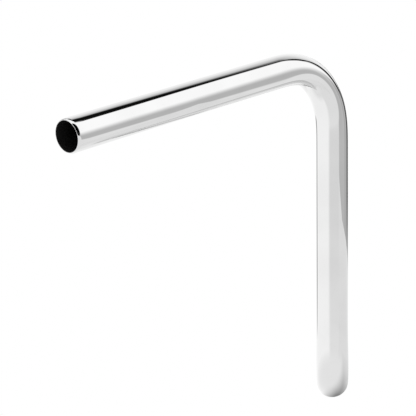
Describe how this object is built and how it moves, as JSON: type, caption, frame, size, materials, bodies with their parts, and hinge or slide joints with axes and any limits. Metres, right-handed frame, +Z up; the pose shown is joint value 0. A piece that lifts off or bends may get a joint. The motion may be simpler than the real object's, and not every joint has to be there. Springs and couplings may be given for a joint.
{
  "type": "ape hanger handlebar",
  "caption": "Chrome motorcycle handlebar bent from one round tube, with a straight clamp run, tall risers and grips that sweep back and drop.",
  "frame": {"origin": "middle of the clamp run, on the tube's axis", "axes": "+X along the clamp run to the right-hand grip, +Y forward, +Z up the risers"},
  "size_m": [0.7312, 0.2029, 0.2847],
  "materials": {
    "chrome": "bright polished plating"
  },
  "bodies": {
    "root": {"handlebar": "chrome"}
  },
  "joints": []
}
